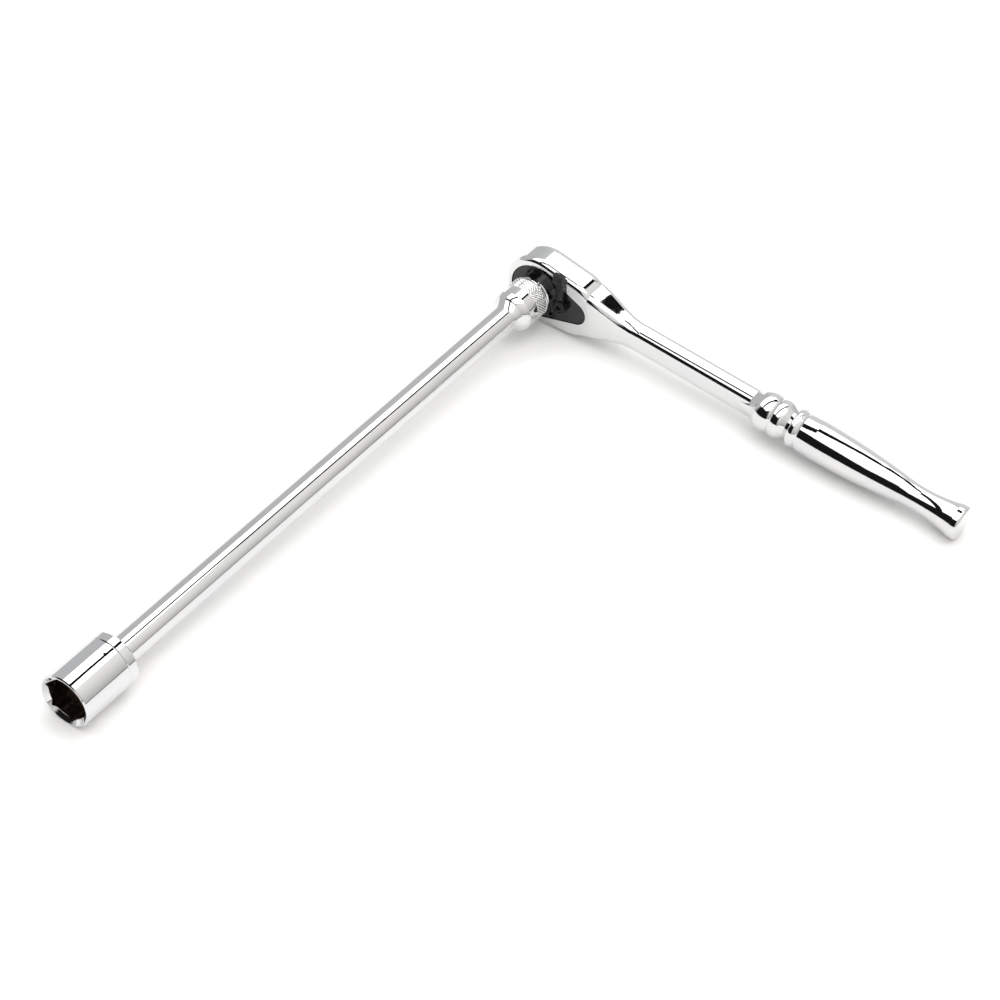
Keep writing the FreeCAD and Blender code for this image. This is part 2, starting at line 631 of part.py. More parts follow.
def make_lever_shaft():
    """Selector shaft: journals in the plate and the head, with a cross hole for the plunger."""
    body = new_body("lever_shaft")
    front = "lever_hub_height - lever_sink - lever_screw_deep"
    rod = circle(sketch_on(body, "XZ_Plane", front), "0", "0", "shaft_radius")
    pad(body, rod, f"{front} + {SHAFT_END}", reverse=True)
    tapped = circle(sketch_on(body, "XZ_Plane", front), "0", "0", "screw_core + thread_fit")
    pocket(body, tapped, "shaft_tap", name="tapped_hole")
    hole = circle(sketch_on(body, "YZ_Plane", "plunger_hole_bottom"), PAWL_MIDDLE, "0",
                  "plunger_radius + plunger_fit")
    pocket(body, hole, "shaft_radius + cut_clear - plunger_hole_bottom", reverse=True, name="plunger_hole")
    channel = sketch_on(body, "XY_Plane")
    near, far = f"{PLATE_MIDDLE} - shaft_groove_width / 2", f"{PLATE_MIDDLE} + shaft_groove_width / 2"
    rectangle(channel, "shaft_groove_floor", "shaft_radius + cut_clear", near, far)
    groove(body, channel, "V_Axis", name="seal_groove")
    body.Placement = at("pivot_offset", "0", "0", about_y(value("plunger_turn")))
    return body


def make_lever_seal():
    """Rubber ring in the shaft's groove, inside the cover plate's hole."""
    ring = DOC.addObject("Part::Torus", "lever_seal")
    bind(ring, Radius1="shaft_seal_ring", Radius2="shaft_seal_wire")
    ring.Placement = at("pivot_offset", PLATE_MIDDLE, "0", FACING_Y)
    return ring


def make_plunger():
    """Round-nosed plunger that the spring pushes against the pawl's window."""
    body = new_body("pawl_plunger")
    profile = outline(sketch_on(body, "XY_Plane"), ("plunger_back", "0"), [
        ("plunger_reach", "0"),
        ("plunger_reach - plunger_radius", "plunger_radius", "plunger_radius", 1),
        ("plunger_back", "plunger_radius"),
        ("plunger_back", "0"),
    ])
    revolve(body, profile, "H_Axis")
    turn = about_y(value("plunger_turn"))
    body.Placement = at("pivot_offset", PAWL_MIDDLE, "0", turn)
    return body


def make_pawl_spring():
    length = "(plunger_back - plunger_hole_bottom - 3 * spring_gap)"
    start = FreeCAD.Vector(value("plunger_hole_bottom + plunger_spring_wire + spring_gap"), 0, 0)
    turn = about_y(value("plunger_turn"))
    along_x = FreeCAD.Rotation(FreeCAD.Vector(0, 1, 0), 90)
    place = at("pivot_offset", PAWL_MIDDLE, "0")
    place.Base = place.Base + turn.multVec(start)
    place.Rotation = turn.multiply(along_x)
    return coil_spring("pawl_spring", "plunger_spring_radius", "plunger_spring_wire",
                       "plunger_spring_turns", length, place)


def make_reversing_lever():
    """Lever hub, arm and thumb tab, drawn along +X from the hub and turned to its resting angle."""
    body = new_body("reversing_lever")
    hub = circle(sketch_on(body, "XZ_Plane", "-lever_sink"), "0", "0", "lever_hub")
    pad(body, hub, "lever_hub_height", name="hub")
    arm = sketch_on(body, "XZ_Plane", "lever_clear")
    half = "lever_arm_width / 2"
    rectangle(arm, "0", "tab_start + cut_clear", f"-{half}", half)
    pad(body, arm, "lever_arm_height", name="arm")
    tab = sketch_on(body, "XZ_Plane", "lever_clear")
    rectangle(tab, "tab_start", "tab_end", "-tab_width / 2", "tab_width / 2")
    pad(body, tab, "tab_height", name="tab")
    round_edges(body, in_plane("-lever_clear - tab_height"), "lever_edge")
    top = "lever_hub_height - lever_sink"
    round_edges(body, in_plane(f"-({top})"), "lever_hub_edge")
    seat = circle(sketch_on(body, "XZ_Plane", top), "0", "0", "lever_screw_head + lever_seat_fit")
    pocket(body, seat, "lever_screw_deep", name="screw_seat")
    bore = circle(sketch_on(body, "XZ_Plane", top), "0", "0", "shaft_radius + lever_bore_fit")
    pocket(body, bore, "lever_hub_height", name="shaft_bore")
    body.Placement = at("pivot_offset", "0", "0", about_y(value("lever_angle")))
    return body


def make_lever_screw():
    """Flat-headed screw that holds the lever on its shaft."""
    body = new_body("lever_screw")
    profile = outline(sketch_on(body, "XY_Plane"), ("0", "0"), [
        ("lever_screw_head - lever_screw_edge", "0"), ("lever_screw_head", "lever_screw_edge"),
        ("lever_screw_head", "lever_screw_deep - side_gap"), ("screw_core", "lever_screw_deep - side_gap"),
        ("screw_core", "lever_screw_length"), ("0", "lever_screw_length"), ("0", "0"),
    ])
    revolve(body, profile, "V_Axis")
    pocket(body, polygon(sketch_on(body, "XZ_Plane"), 6, "lever_screw_key"), "key_depth", name="key")
    body.Placement = at("pivot_offset", "lever_sink - lever_hub_height", "0")
    return body


# ---------------------------------------------------------------- extension bar and socket

def cross_holes(body, y, radius, reach):
    """Detent seats in all four walls of a square hole, drilled from inside."""
    for role, swap in (("XY_Plane", False), ("YZ_Plane", True)):
        sketch = sketch_on(body, role)
        circle(sketch, *((y, "0") if swap else ("0", y)), radius)
        pocket_both_ways(body, sketch, f"2 * {reach}", name="detent_seat")


def make_extension_bar():
    body = new_body("extension_bar")
    full_end = f"{FEMALE_RIM} - female_length"
    bar_start = f"{full_end} - shoulder_length"
    male_start = f"{MALE_TIP} + male_length"
    band_near = f"{FEMALE_RIM} - band_start"
    band_far = f"{band_near} - band_length"
    sunk = "female_radius - band_sink"
    middle_r = "bar_radius + shoulder_rise * (female_radius - bar_radius)"
    profile = outline(sketch_on(body, "XY_Plane"), ("0", FEMALE_RIM), [
        ("0", male_start),
        ("bar_radius", male_start),
        ("bar_radius", bar_start),
        (middle_r, f"{full_end} - shoulder_turn * shoulder_length", "shoulder_sweep", -1),
        ("female_radius", full_end, "shoulder_sweep", 1),
        ("female_radius", band_far),
        (sunk, f"{band_far} + band_sink"),
        (sunk, f"{band_near} - band_sink"),
        ("female_radius", band_near),
        ("female_radius", f"{FEMALE_RIM} - rim_chamfer"),
        ("female_radius - rim_chamfer", FEMALE_RIM),
        ("0", FEMALE_RIM),
    ])
    revolve(body, profile, "V_Axis", name="turned")
    half = "square_male / 2"
    square = sketch_on(body, "XZ_Plane", f"-({male_start} + male_root)")
    rounded_rectangle(square, "0", half, half, "male_round")
    pad(body, square, "male_length + male_root", name="male_square")
    corners = sketch_on(body, "XY_Plane")
    step = f"{male_start} + male_step"
    tip = "male_corner - male_lead"
    outline(corners, ("male_corner", f"{male_start} - male_ease"), [
        ("bar_radius - male_step_sink", step),
        ("corner_reach", step),
        ("corner_reach", f"{MALE_TIP} - cut_clear"),
        (tip, f"{MALE_TIP} - cut_clear"),
        (tip, MALE_TIP),
        ("male_corner", f"{MALE_TIP} + male_lead"),
        ("male_corner", f"{male_start} - male_ease"),
    ])
    groove(body, corners, "V_Axis", name="turned_corners")
    female = sketch_on(body, "XZ_Plane", f"-({FEMALE_RIM})")
    half = "square_female / 2"
    rounded_rectangle(female, "0", half, half, "female_round")
    pocket(body, female, "female_depth", reverse=True, name="female_square")
    cross_holes(body, DRIVE_BALL_Y, "detent_radius", "detent_reach")
    hole = circle(sketch_on(body, "XY_Plane", "ball_hole_bottom"), "0", EXTENSION_BALL_Y, "ball_hole")
    pocket(body, hole, "square_male / 2 + cut_clear - ball_hole_bottom", reverse=True, name="ball_hole")
    return body


def make_socket():
    body = new_body("socket")
    groove_near = f"{SOCKET_REAR} - rear_groove"
    floor = "socket_radius - groove_depth"
    profile = outline(sketch_on(body, "XY_Plane"), ("through_radius", SOCKET_REAR), [
        ("through_radius", SOCKET_FRONT),
        ("socket_radius - rim_round", SOCKET_FRONT),
        ("socket_radius", f"{SOCKET_FRONT} + rim_round"),
        ("socket_radius", f"{groove_near} - groove_width"),
        (floor, f"{groove_near} - groove_width / 2"),
        ("socket_radius", groove_near),
        ("socket_radius", f"{SOCKET_REAR} - rear_chamfer"),
        ("socket_radius - rear_chamfer", SOCKET_REAR),
        ("through_radius", SOCKET_REAR),
    ])
    revolve(body, profile, "V_Axis", name="turned")
    hexagon = polygon(sketch_on(body, "XZ_Plane", f"-({SOCKET_FRONT})"), 6, "hex_flats")
    pocket(body, hexagon, "hex_depth", name="hexagon")
    inner = "mouth_radius - mouth_depth"
    mouth = outline(sketch_on(body, "XY_Plane"), ("0", f"{SOCKET_FRONT} - cut_clear"), [
        ("mouth_radius + cut_clear", f"{SOCKET_FRONT} - cut_clear"),
        (inner, f"{SOCKET_FRONT} + mouth_depth"),
        ("0", f"{SOCKET_FRONT} + mouth_depth"),
        ("0", f"{SOCKET_FRONT} - cut_clear"),
    ])
    groove(body, mouth, "V_Axis", name="lead_in")
    half = "square_female / 2"
    square = rounded_rectangle(sketch_on(body, "XZ_Plane", f"-({SOCKET_REAR})"), "0", half, half,
                               "female_round")
    pocket(body, square, "socket_square_depth", reverse=True, name="square")
    cross_holes(body, EXTENSION_BALL_Y, "detent_radius", "detent_reach")
    pin = circle(sketch_on(body, "XY_Plane"), "0", EXTENSION_BALL_Y, "pin_hole_radius")
    pocket(body, pin, "socket_radius + cut_clear", reverse=True, name="pin_hole")
    return body


# ---------------------------------------------------------------- assembly and export

def resting_turn():
    """Tilt that puts the socket's rim, the head's edge and the flared handle end on one plane."""
    head = value("head_radius")
    nod = math.asin((head - value("socket_radius")) / -value(f"{SOCKET_FRONT}"))
    roll = math.asin((head - value("lip_radius")) / value("handle_length"))
    forward = FreeCAD.Rotation(FreeCAD.Vector(1, 0, 0), math.degrees(nod))
    along = FreeCAD.Rotation(FreeCAD.Vector(0, 1, 0), math.degrees(roll))
    return forward.multiply(along)


def turn_drive(pieces):
    """Turn the drive, the extension bar and the socket together about the drive axis."""
    turn = FreeCAD.Placement(FreeCAD.Vector(), about_y(value("drive_turn")))
    for piece in pieces:
        piece.Placement = turn.multiply(piece.Placement)


def set_down(pieces):
    """Turn every piece to the resting tilt, then put the assembly's base centre at the origin."""
    turn = FreeCAD.Placement(FreeCAD.Vector(), resting_turn())
    for piece in pieces:
        piece.Placement = turn.multiply(piece.Placement)
    DOC.recompute()
    box = FreeCAD.BoundBox()
    for piece in pieces:
        box.add(piece.Shape.optimalBoundingBox())
    shift = FreeCAD.Placement(FreeCAD.Vector(-box.Center.x, -box.Center.y, -box.ZMin), FreeCAD.Rotation())
    for piece in pieces:
        piece.Placement = shift.multiply(piece.Placement)
    DOC.recompute()
    return shift.multiply(turn)


def check(pieces):
    for thing in DOC.Objects:
        if "Invalid" in thing.State or "Error" in thing.State:
            raise RuntimeError(f"{thing.Name} failed: {thing.State}")
    for piece in pieces:
        if piece.Shape.isNull() or not piece.Shape.isValid() or not piece.Shape.Solids:
            raise RuntimeError(f"{piece.Label} has no valid solid")


fill_sheet()
HANDLE_SIDE = [
    make_ratchet_body(),
    make_cover_plate(),
    make_cover_screws(),
    make_thrust_washer(),
    make_pawl(),
    make_lever_shaft(),
    make_lever_seal(),
    make_plunger(),
    make_pawl_spring(),
    make_reversing_lever(),
    make_lever_screw(),
]
DRIVE_SIDE = [
    make_drive_gear(),
    make_hub_seal(),
    make_ball("drive_ball", DRIVE_BALL_Y),
    make_ball_spring("drive_ball_spring", DRIVE_BALL_Y),
    make_extension_bar(),
    make_ball("extension_ball", EXTENSION_BALL_Y),
    make_ball_spring("extension_ball_spring", EXTENSION_BALL_Y),
    make_socket(),
]
PIECES = HANDLE_SIDE + DRIVE_SIDE
DOC.recompute()
turn_drive(DRIVE_SIDE)
SEAT = set_down(PIECES)
check(PIECES)
os.makedirs("parts", exist_ok=True)
for piece in PIECES:
    piece.Shape.exportStep(f"parts/{piece.Label}.step")
    print(f"{piece.Label}: {piece.Shape.Volume:.1f} mm3, {len(piece.Shape.Solids)} solid")
print("seat", [f"{number:.12f}" for number in SEAT.toMatrix().A])
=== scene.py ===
import json
import math

import bmesh
import bpy
from mathutils import Matrix, Vector


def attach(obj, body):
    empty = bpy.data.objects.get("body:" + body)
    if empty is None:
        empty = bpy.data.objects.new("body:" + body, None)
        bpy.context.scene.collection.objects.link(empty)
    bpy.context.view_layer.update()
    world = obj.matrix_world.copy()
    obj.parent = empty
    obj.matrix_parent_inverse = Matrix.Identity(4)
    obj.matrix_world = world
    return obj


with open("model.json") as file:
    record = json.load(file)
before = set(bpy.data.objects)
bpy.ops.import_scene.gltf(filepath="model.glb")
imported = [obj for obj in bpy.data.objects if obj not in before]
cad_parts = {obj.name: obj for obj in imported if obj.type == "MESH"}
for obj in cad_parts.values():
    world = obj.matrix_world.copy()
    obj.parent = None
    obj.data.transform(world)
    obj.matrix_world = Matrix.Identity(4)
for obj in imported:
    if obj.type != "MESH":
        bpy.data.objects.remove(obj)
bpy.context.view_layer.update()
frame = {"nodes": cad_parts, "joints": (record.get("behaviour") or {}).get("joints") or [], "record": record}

MM = 0.001

# Where the light comes from, seen from the tool: two long overhead softboxes with a black rail under
# the line where they meet, a pale room behind and beside the tool, and an unlit room in front of it.
# Places on the ceiling are metres along the rail and across it, from the point above the origin.
CEILING = 1.5
RAIL_DROP = 0.01
RAIL_TURN = math.radians(63.8)
ALONG_RAIL = Vector((math.cos(RAIL_TURN), math.sin(RAIL_TURN), 0))
ACROSS_RAIL = Vector((-ALONG_RAIL.y, ALONG_RAIL.x, 0))
RAIL = {"along": (-1.9, 2.3), "across": (0.25, 0.49)}
SOFTBOXES = {
    "back_softbox": {"along": (-1.5, 1.8), "across": (0.37, 1.42)},
    "front_softbox": {"along": (-1.4, 0.85), "across": (-0.65, 0.37)},
}
LIGHT_RADIANCE = 1.9
LIGHT_COLOUR = (1.0, 0.995, 0.985)

# The room, by the direction that a reflection looks in: x and y are parts of the level direction.
DARK_TOWARDS = (-0.36, -0.93)
DARK_EDGE = (0.78, 0.90)
DARK_LEVEL = 0.012
FLOOR_LEVEL = 0.95
LEFT_TINT = (0.99, 0.995, 1.0)
RIGHT_TINT = (1.0, 0.985, 0.955)
FLOOR_REACH = 3.0

VIEW_AZIMUTH = math.radians(30.458)
VIEW_HEIGHT = math.radians(44.543)
VIEW_ROLL = math.radians(7.509)
VIEW_DISTANCE = 1.28127
VIEW_AIM = Vector((-0.039895, 0.035835, 0.013))
LENS = 105.6
SENSOR = 36
FARTHEST_SEEN = 20


# ---------------------------------------------------------------- node helpers

class Shader:
    """A small helper that adds nodes to a material or a world and links them."""

    def __init__(self, tree):
        self.tree = tree
        tree.nodes.clear()

    def add(self, kind, **inputs):
        """A node with its inputs set by name, where an underscore stands for a space."""
        node = self.tree.nodes.new(kind)
        for name, source in inputs.items():
            self.feed(node.inputs[name.replace("_", " ")], source)
        return node

    def feed(self, socket, source):
        if isinstance(source, bpy.types.NodeSocket):
            self.tree.links.new(source, socket)
        else:
            socket.default_value = source

    def math(self, operation, *values):
        node = self.tree.nodes.new("ShaderNodeMath")
        node.operation = operation
        for socket, source in zip(node.inputs, values):
            self.feed(socket, source)
        return node.outputs[0]

    def vector_math(self, operation, *values):
        """A vector operation on two vectors, given as its node, since some give a plain value."""
        node = self.tree.nodes.new("ShaderNodeVectorMath")
        node.operation = operation
        for socket, source in zip(node.inputs, values):
            self.feed(socket, source)
        return node

    def tinted(self, tint, level):
        node = self.vector_math("SCALE", tint)
        self.feed(node.inputs["Scale"], level)
        return node.outputs[0]

    def spread(self, value, low, high, to_low=0.0, to_high=1.0, smooth=True):
        """Map value from low..high to to_low..to_high, clamped at both ends."""
        node = self.tree.nodes.new("ShaderNodeMapRange")
        node.interpolation_type = "SMOOTHSTEP" if smooth else "LINEAR"
        for socket, source in zip(node.inputs, (value, low, high, to_low, to_high)):
            self.feed(socket, source)
        return node.outputs[0]

    def mix(self, share, first, second):
        node = self.tree.nodes.new("ShaderNodeMix")
        node.data_type = "RGBA"
        self.feed(node.inputs[0], share)
        self.feed(node.inputs[6], first)
        self.feed(node.inputs[7], second)
        return node.outputs[2]

    def noise(self, vector, scale, detail=3.0, roughness=0.5):
        return self.add("ShaderNodeTexNoise", Vector=vector, Scale=scale, Detail=detail,
                        Roughness=roughness).outputs["Fac"]

    def place(self, scale=(1, 1, 1)):
        """The piece's own coordinates, in metres, stretched by scale."""
        coordinate = self.add("ShaderNodeTexCoord").outputs["Object"]
        return self.add("ShaderNodeMapping", Vector=coordinate, Scale=scale).outputs[0]

    def relief(self, height, strength, distance=0.0001):
        return self.add("ShaderNodeBump", Strength=strength, Distance=distance, Height=height).outputs[0]


def grey(level, tint=(1.0, 1.0, 1.0)):
    return (level * tint[0], level * tint[1], level * tint[2], 1.0)


def material(name):
    made = bpy.data.materials.new(name)
    made.use_nodes = True
    return made, Shader(made.node_tree)


def finish_surface(shader, **inputs):
    principled = shader.add("ShaderNodeBsdfPrincipled", **inputs)
    output = shader.add("ShaderNodeOutputMaterial")
    shader.feed(output.inputs["Surface"], principled.outputs[0])


# ---------------------------------------------------------------- materials

CHROME_LEVEL = 0.72
CHROME_TINT = (0.985, 0.99, 1.0)
CHROME_WARM_TINT = (1.0, 0.998, 0.992)
HAIRLINES_ALONG = {"X": (150, 2400, 2400), "Y": (2400, 150, 2400)}

# the socket's lead-in cone, which is chrome down to the hexagon, and the widths of its painted edges
MOUTH_RADIUS = 11.75 * MM
MOUTH_DEPTH = 1.7 * MM
EDGE_FADE = 0.1 * MM


def polish(shader, along):
    """Roughness and relief of polished chrome: hairline scratches along one axis, cloudy buffing
    marks and a few faint pits."""
    hairlines = shader.noise(shader.place(HAIRLINES_ALONG[along]), 1.0, 4.0, 0.6)
    buffing = shader.noise(shader.place(), 90.0, 3.0, 0.55)
    ripple = shader.noise(shader.place(), 420.0, 2.0, 0.5)
    pits = shader.add("ShaderNodeTexVoronoi", Vector=shader.place(), Scale=380.0).outputs["Distance"]
    pit = shader.spread(pits, 0.02, 0.07, 1.0, 0.0)
    rough = shader.math("ADD", shader.spread(buffing, 0.3, 0.8, 0.02, 0.055),
                        shader.spread(hairlines, 0.62, 0.9, 0.0, 0.06))
    rough = shader.math("ADD", rough, shader.math("MULTIPLY", pit, 0.12))
    height = shader.math("ADD", shader.math("MULTIPLY", hairlines, 0.25),
                         shader.math("SUBTRACT", shader.math("MULTIPLY", ripple, 0.5), pit))
    return rough, shader.relief(height, 0.035, 0.0002)


def chrome(name, along):
    made, shader = material(name)
    rough, bump = polish(shader, along)
    cloud = shader.noise(shader.place(), 35.0, 2.0, 0.5)
    colour = shader.mix(shader.spread(cloud, 0.3, 0.7), grey(CHROME_LEVEL * 0.97, CHROME_TINT),
                        grey(CHROME_LEVEL, CHROME_WARM_TINT))
    finish_surface(shader, Base_Color=colour, Metallic=1.0, Roughness=rough, Normal=bump)
    return made


def offset_from(shader, point):
    coordinate = shader.add("ShaderNodeTexCoord").outputs["Object"]
    return shader.vector_math("SUBTRACT", coordinate, point).outputs[0]


def across_axis(shader, point, axis):
    """Distance of a shaded point from a line through point along axis, in metres."""
    offset = offset_from(shader, point)
    cross = shader.vector_math("CROSS_PRODUCT", offset, axis).outputs[0]
    return shader.vector_math("LENGTH", cross).outputs["Value"]


def depth_along(shader, point, axis):
    """How far a shaded point lies from point along axis, in metres."""
    return shader.vector_math("DOT_PRODUCT", offset_from(shader, point), axis).outputs["Value"]


def socket_chrome(name, front, axis):
    """Chrome outside and on the lead-in cone; deep in the hexagon, painted shade: a brown-black colour with
    random blotches in place of the chrome.
    """
    made, shader = material(name)
    rough, bump = polish(shader, "Y")
    radius = across_axis(shader, front, axis)
    depth = depth_along(shader, front, -axis)
    cone = shader.math("ADD", radius, depth)
    off_cone = shader.spread(cone, MOUTH_RADIUS - 3 * EDGE_FADE, MOUTH_RADIUS - EDGE_FADE, 1.0, 0.0)
    deep = shader.spread(depth, MOUTH_DEPTH, MOUTH_DEPTH + EDGE_FADE)
    within = shader.spread(radius, MOUTH_RADIUS - 2 * EDGE_FADE, MOUTH_RADIUS, 1.0, 0.0)
    # painted shade mask: one in the hexagon's recess past the lead-in cone, nought on the chrome
    recess_painted_shade = shader.math("MULTIPLY", shader.math("MAXIMUM", off_cone, deep), within)
    recess_blotches = shader.noise(shader.place((300, 90, 300)), 1.0, 3.0, 0.5)
    # the painted shade's colour in the recess: brown-black, with random blotches
    dark = shader.mix(shader.spread(recess_blotches, 0.3, 0.75), (0.15, 0.125, 0.105, 1),
                      (0.36, 0.30, 0.25, 1))
    colour = shader.mix(recess_painted_shade, grey(CHROME_LEVEL, CHROME_TINT), dark)
    dull = shader.spread(recess_blotches, 0.2, 0.8, 0.16, 0.34)
    rough = shader.math("ADD", shader.math("MULTIPLY", rough, shader.math("SUBTRACT", 1.0, recess_painted_shade)),
                        shader.math("MULTIPLY", dull, recess_painted_shade))
    finish_surface(shader, Base_Color=colour, Metallic=1.0, Roughness=rough, Normal=bump)
    return made


def black_gloss(name):
    """The cover plate: glossy black lacquer over steel, with faint orange peel and dust."""
    made, shader = material(name)
    peel = shader.noise(shader.place(), 900.0, 2.0, 0.5)
    specks = shader.noise(shader.place(), 2600.0, 2.0, 0.7)
    wipes = shader.noise(shader.place((120, 900, 500)), 1.0, 3.0, 0.6)
    colour = shader.mix(shader.spread(specks, 0.66, 0.8), (0.0055, 0.0055, 0.006, 1),
                        (0.03, 0.03, 0.032, 1))
    rough = shader.spread(wipes, 0.3, 0.8, 0.10, 0.24)
    finish_surface(shader, Base_Color=colour, Metallic=0.0, Roughness=rough,
                   Normal=shader.relief(peel, 0.08), Specular_IOR_Level=0.45)
    return made


def black_oxide(name, dullest=0.42):
    """Blackened steel: satin, a little brown, with paler rubbed patches."""
    made, shader = material(name)
    blotch = shader.noise(shader.place(), 260.0, 4.0, 0.6)
    grain = shader.noise(shader.place(), 3200.0, 3.0, 0.6)
    colour = shader.mix(shader.spread(blotch, 0.45, 0.8), (0.006, 0.0058, 0.006, 1),
                        (0.024, 0.023, 0.023, 1))
    rough = shader.spread(blotch, 0.3, 0.75, 0.2, dullest)
    finish_surface(shader, Base_Color=colour, Metallic=0.2, Roughness=rough,
                   Normal=shader.relief(grain, 0.12), Specular_IOR_Level=0.4)
    return made


def ground_steel(name):
    """Bare hardened steel with a grinding lay and a film of oil."""
    level = 0.5
    made, shader = material(name)
    lay = shader.noise(shader.place((3200, 3200, 260)), 1.0, 3.0, 0.6)
    stain = shader.noise(shader.place(), 300.0, 3.0, 0.6)
    colour = shader.mix(shader.spread(stain, 0.35, 0.75), grey(level), grey(level * 0.8, (1.0, 0.96, 0.9)))
    rough = shader.spread(lay, 0.25, 0.75, 0.16, 0.34)
    finish_surface(shader, Base_Color=colour, Metallic=1.0, Roughness=rough,
                   Normal=shader.relief(lay, 0.12))
    return made


def seal_rubber(name):
    """Matt black rubber with a pale bloom."""
    made, shader = material(name)
    bloom = shader.noise(shader.place(), 700.0, 3.0, 0.6)
    colour = shader.mix(shader.spread(bloom, 0.4, 0.8), (0.012, 0.012, 0.012, 1), (0.04, 0.04, 0.041, 1))
    finish_surface(shader, Base_Color=colour, Roughness=shader.spread(bloom, 0.3, 0.8, 0.5, 0.7),
                   Normal=shader.relief(bloom, 0.2))
    return made


def table_top(name):
    """A pale, almost even table, with a little light of its own."""
    made, shader = material(name)
    mottle = shader.noise(shader.place(), 14.0, 3.0, 0.5)
    colour = shader.mix(mottle, grey(0.95), grey(0.965))
    finish_surface(shader, Base_Color=colour, Roughness=0.6, Specular_IOR_Level=0.2,
                   Emission_Color=colour, Emission_Strength=0.03)
    return made


def matt_black(name):
    """Black cloth for the rail."""
    made, shader = material(name)
    weave = shader.noise(shader.place(), 60.0, 2.0, 0.5)
    colour = shader.mix(weave, grey(0.004), grey(0.008))
    finish_surface(shader, Base_Color=colour, Roughness=0.9, Specular_IOR_Level=0.1)
    return made


# ---------------------------------------------------------------- camera and studio

def view_axes():
    """Right, up and back directions of the camera, before it is rolled."""
    back = Vector((math.sin(VIEW_AZIMUTH) * math.cos(VIEW_HEIGHT),
                   -math.cos(VIEW_AZIMUTH) * math.cos(VIEW_HEIGHT), math.sin(VIEW_HEIGHT)))
    right = Vector((math.cos(VIEW_AZIMUTH), math.sin(VIEW_AZIMUTH), 0))
    return right, back.cross(right), back


def add_camera():
    camera = bpy.data.objects.new("camera", bpy.data.cameras.new("camera"))
    bpy.context.scene.collection.objects.link(camera)
    camera.data.lens = LENS
    camera.data.sensor_width = SENSOR
    camera.data.clip_end = FARTHEST_SEEN
    right, up, back = view_axes()
    rolled_right = right * math.cos(VIEW_ROLL) + up * math.sin(VIEW_ROLL)
    rolled_up = up * math.cos(VIEW_ROLL) - right * math.sin(VIEW_ROLL)
    turn = Matrix((rolled_right, rolled_up, back)).transposed().to_4x4()
    camera.matrix_world = Matrix.Translation(VIEW_AIM + back * VIEW_DISTANCE) @ turn
    bpy.context.scene.camera = camera


def on_ceiling(along, across, drop=0.0):
    return ALONG_RAIL * along + ACROSS_RAIL * across + Vector((0, 0, CEILING - drop))


def add_softbox(name, along, across):
    """A rectangle of light on the ceiling, placed along and across the rail."""
    size = (along[1] - along[0], across[1] - across[0])
    middle = (sum(along) / 2, sum(across) / 2)
    lamp = bpy.data.lights.new(name, "AREA")
    lamp.shape = "RECTANGLE"
    lamp.size, lamp.size_y = size
    lamp.energy = LIGHT_RADIANCE * math.pi * size[0] * size[1]
    lamp.color = LIGHT_COLOUR
    box = bpy.data.objects.new(name, lamp)
    bpy.context.scene.collection.objects.link(box)
    box.location = on_ceiling(*middle)
    box.rotation_euler = (0, 0, RAIL_TURN)


def add_rail(name, along, across):
    """A black rail hanging just under the softboxes."""
    mesh = bpy.data.meshes.new(name)
    corners = [on_ceiling(end, edge, RAIL_DROP) for end in along for edge in across]
    mesh.from_pydata(corners, [], [(0, 2, 3, 1)])
    rail = bpy.data.objects.new(name, mesh)
    bpy.context.scene.collection.objects.link(rail)
    mesh.materials.append(matt_black(name))


def add_room():
    """The room's brightness by direction: dark in front, warm on the right, pale elsewhere, with a band of
    painted shadow just above the horizon on the right.
    """
    world = bpy.data.worlds.new("room")
    bpy.context.scene.world = world
    world.use_nodes = True
    shader = Shader(world.node_tree)
    direction = shader.add("ShaderNodeTexCoord").outputs["Generated"]
    x, y, z = shader.add("ShaderNodeSeparateXYZ", Vector=direction).outputs
    level_part = shader.math("SQRT", shader.math("MAXIMUM", shader.math("SUBTRACT", 1.0,
                             shader.math("MULTIPLY", z, z)), 0.0001))
    frontness = shader.math("DIVIDE", shader.math("ADD", shader.math("MULTIPLY", x, DARK_TOWARDS[0]),
                            shader.math("MULTIPLY", y, DARK_TOWARDS[1])), level_part)
    rightness = shader.math("DIVIDE", x, level_part)
    pale = shader.spread(rightness, -0.8, -0.3, 0.64, 0.88)
    warm = shader.spread(z, 0.03, 0.75, 0.56, 1.08, smooth=False)
    # painted shadow: this darkens the warm room just above the horizon on the right, standing in for the
    # reflection of the tool's own shadow on the floor
    painted_shadow_band = shader.spread(z, 0.02, 0.05, 0.25, 1.0)
    left = shader.tinted(LEFT_TINT, pale)
    right = shader.tinted(RIGHT_TINT, shader.math("MULTIPLY", warm, painted_shadow_band))
    lit = shader.mix(shader.spread(rightness, 0.1, 0.32), left, right)
    upper = shader.mix(shader.spread(frontness, *DARK_EDGE), lit, grey(DARK_LEVEL))
    below = shader.spread(z, -0.02, -0.01, 1.0, 0.0)
    colour = shader.mix(below, upper, grey(FLOOR_LEVEL))
    background = shader.add("ShaderNodeBackground", Color=colour, Strength=1.0)
    output = shader.add("ShaderNodeOutputWorld")
    shader.feed(output.inputs["Surface"], background.outputs[0])


def add_floor():
    mesh = bpy.data.meshes.new("floor")
    corners = [(x * FLOOR_REACH, y * FLOOR_REACH, 0) for x, y in ((-1, -1), (1, -1), (1, 1), (-1, 1))]
    mesh.from_pydata(corners, [], [(0, 1, 2, 3)])
    floor = bpy.data.objects.new("floor", mesh)
    bpy.context.scene.collection.objects.link(floor)
    mesh.materials.append(table_top("pale_table"))


# ---------------------------------------------------------------- the tool's frame

def named(entries, name):
    return next(entry for entry in entries if entry["name"] == name)


